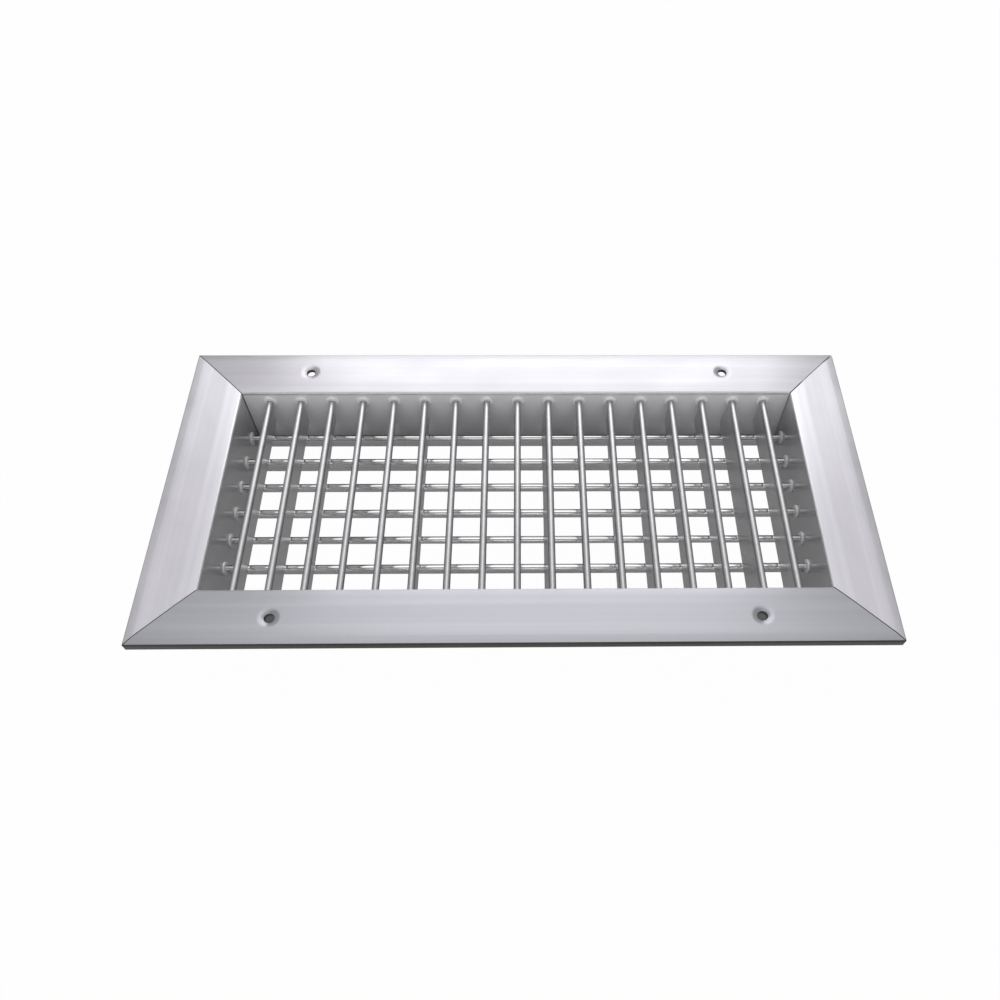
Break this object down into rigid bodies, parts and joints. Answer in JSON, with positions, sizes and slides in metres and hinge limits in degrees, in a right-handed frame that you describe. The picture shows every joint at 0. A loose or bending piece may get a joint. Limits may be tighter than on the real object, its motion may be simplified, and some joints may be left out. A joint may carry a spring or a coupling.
{
  "type": "double deflection supply grille",
  "caption": "Rectangular aluminium air supply grille: a mitred flanged frame with upright front blades and level rear blades, each tilting by hand in nylon bushes.",
  "frame": {"origin": "middle of the wall plane, where the lip behind the face meets the wall", "axes": "+X along the grille's width, +Y up its face, +Z out of the wall into the room"},
  "size_m": [0.4, 0.2, 0.05],
  "materials": {
    "frame_aluminium": "satin mill finish",
    "blade_aluminium": "drawn mill finish",
    "key_aluminium": "punched plate",
    "bush_nylon": "natural nylon"
  },
  "bodies": {
    "frame": {"frame_top": "frame_aluminium", "frame_bottom": "frame_aluminium", "frame_left": "frame_aluminium", "frame_right": "frame_aluminium", "corner_key_top_left": "key_aluminium", "corner_key_top_right": "key_aluminium", "corner_key_bottom_left": "key_aluminium", "corner_key_bottom_right": "key_aluminium", "bushes_top": "bush_nylon", "bushes_bottom": "bush_nylon", "bushes_left": "bush_nylon", "bushes_right": "bush_nylon"},
    "front_blade_01": {"front_blade_01": "blade_aluminium"},
    "front_blade_02": {"front_blade_02": "blade_aluminium"},
    "front_blade_03": {"front_blade_03": "blade_aluminium"},
    "front_blade_04": {"front_blade_04": "blade_aluminium"},
    "front_blade_05": {"front_blade_05": "blade_aluminium"},
    "front_blade_06": {"front_blade_06": "blade_aluminium"},
    "front_blade_07": {"front_blade_07": "blade_aluminium"},
    "front_blade_08": {"front_blade_08": "blade_aluminium"},
    "front_blade_09": {"front_blade_09": "blade_aluminium"},
    "front_blade_10": {"front_blade_10": "blade_aluminium"},
    "front_blade_11": {"front_blade_11": "blade_aluminium"},
    "front_blade_12": {"front_blade_12": "blade_aluminium"},
    "front_blade_13": {"front_blade_13": "blade_aluminium"},
    "front_blade_14": {"front_blade_14": "blade_aluminium"},
    "front_blade_15": {"front_blade_15": "blade_aluminium"},
    "front_blade_16": {"front_blade_16": "blade_aluminium"},
    "front_blade_17": {"front_blade_17": "blade_aluminium"},
    "rear_blade_1": {"rear_blade_1": "blade_aluminium"},
    "rear_blade_2": {"rear_blade_2": "blade_aluminium"},
    "rear_blade_3": {"rear_blade_3": "blade_aluminium"},
    "rear_blade_4": {"rear_blade_4": "blade_aluminium"},
    "rear_blade_5": {"rear_blade_5": "blade_aluminium"},
    "rear_blade_6": {"rear_blade_6": "blade_aluminium"},
    "rear_blade_7": {"rear_blade_7": "blade_aluminium"}
  },
  "joints": [
    {"name": "front_blade_01_tilt", "type": "hinge", "parent": "frame", "child": "front_blade_01", "pos_m": [-0.1524, 0, -0.002], "axis": [0, -1, 0], "range_deg": [-41.5, 48.5]},
    {"name": "front_blade_02_tilt", "type": "hinge", "parent": "frame", "child": "front_blade_02", "pos_m": [-0.13335, 0, -0.002], "axis": [0, -1, 0], "range_deg": [-47, 43]},
    {"name": "front_blade_03_tilt", "type": "hinge", "parent": "frame", "child": "front_blade_03", "pos_m": [-0.1143, 0, -0.002], "axis": [0, -1, 0], "range_deg": [-39.5, 50.5]},
    {"name": "front_blade_04_tilt", "type": "hinge", "parent": "frame", "child": "front_blade_04", "pos_m": [-0.09525, 0, -0.002], "axis": [0, -1, 0], "range_deg": [-35, 55]},
    {"name": "front_blade_05_tilt", "type": "hinge", "parent": "frame", "child": "front_blade_05", "pos_m": [-0.0762, 0, -0.002], "axis": [0, -1, 0], "range_deg": [-37, 53]},
    {"name": "front_blade_06_tilt", "type": "hinge", "parent": "frame", "child": "front_blade_06", "pos_m": [-0.05715, 0, -0.002], "axis": [0, -1, 0], "range_deg": [-47, 43]},
    {"name": "front_blade_07_tilt", "type": "hinge", "parent": "frame", "child": "front_blade_07", "pos_m": [-0.0381, 0, -0.002], "axis": [0, -1, 0], "range_deg": [-40, 50]},
    {"name": "front_blade_08_tilt", "type": "hinge", "parent": "frame", "child": "front_blade_08", "pos_m": [-0.01905, 0, -0.002], "axis": [0, -1, 0], "range_deg": [-42, 48]},
    {"name": "front_blade_09_tilt", "type": "hinge", "parent": "frame", "child": "front_blade_09", "pos_m": [0, 0, -0.002], "axis": [0, -1, 0], "range_deg": [-41, 49]},
    {"name": "front_blade_10_tilt", "type": "hinge", "parent": "frame", "child": "front_blade_10", "pos_m": [0.01905, 0, -0.002], "axis": [0, -1, 0], "range_deg": [-34.5, 55.5]},
    {"name": "front_blade_11_tilt", "type": "hinge", "parent": "frame", "child": "front_blade_11", "pos_m": [0.0381, 0, -0.002], "axis": [0, -1, 0], "range_deg": [-44, 46]},
    {"name": "front_blade_12_tilt", "type": "hinge", "parent": "frame", "child": "front_blade_12", "pos_m": [0.05715, 0, -0.002], "axis": [0, -1, 0], "range_deg": [-43.5, 46.5]},
    {"name": "front_blade_13_tilt", "type": "hinge", "parent": "frame", "child": "front_blade_13", "pos_m": [0.0762, 0, -0.002], "axis": [0, -1, 0], "range_deg": [-37.5, 52.5]},
    {"name": "front_blade_14_tilt", "type": "hinge", "parent": "frame", "child": "front_blade_14", "pos_m": [0.09525, 0, -0.002], "axis": [0, -1, 0], "range_deg": [-42, 48]},
    {"name": "front_blade_15_tilt", "type": "hinge", "parent": "frame", "child": "front_blade_15", "pos_m": [0.1143, 0, -0.002], "axis": [0, -1, 0], "range_deg": [-41.5, 48.5]},
    {"name": "front_blade_16_tilt", "type": "hinge", "parent": "frame", "child": "front_blade_16", "pos_m": [0.13335, 0, -0.002], "axis": [0, -1, 0], "range_deg": [-33, 57]},
    {"name": "front_blade_17_tilt", "type": "hinge", "parent": "frame", "child": "front_blade_17", "pos_m": [0.1524, 0, -0.002], "axis": [0, -1, 0], "range_deg": [-40, 50]},
    {"name": "rear_blade_1_tilt", "type": "hinge", "parent": "frame", "child": "rear_blade_1", "pos_m": [0, 0.05715, -0.0245], "axis": [1, 0, 0], "range_deg": [-48.5, 6.5]},
    {"name": "rear_blade_2_tilt", "type": "hinge", "parent": "frame", "child": "rear_blade_2", "pos_m": [0, 0.0381, -0.0245], "axis": [1, 0, 0], "range_deg": [-46, 24]},
    {"name": "rear_blade_3_tilt", "type": "hinge", "parent": "frame", "child": "rear_blade_3", "pos_m": [0, 0.01905, -0.0245], "axis": [1, 0, 0], "range_deg": [-52.5, 17.5]},
    {"name": "rear_blade_4_tilt", "type": "hinge", "parent": "frame", "child": "rear_blade_4", "pos_m": [0, 0, -0.0245], "axis": [1, 0, 0], "range_deg": [-50.5, 19.5]},
    {"name": "rear_blade_5_tilt", "type": "hinge", "parent": "frame", "child": "rear_blade_5", "pos_m": [0, -0.01905, -0.0245], "axis": [1, 0, 0], "range_deg": [-51, 19]},
    {"name": "rear_blade_6_tilt", "type": "hinge", "parent": "frame", "child": "rear_blade_6", "pos_m": [0, -0.0381, -0.0245], "axis": [1, 0, 0], "range_deg": [-45.5, 24.5]},
    {"name": "rear_blade_7_tilt", "type": "hinge", "parent": "frame", "child": "rear_blade_7", "pos_m": [0, -0.05715, -0.0245], "axis": [1, 0, 0], "range_deg": [-49, 21]}
  ]
}
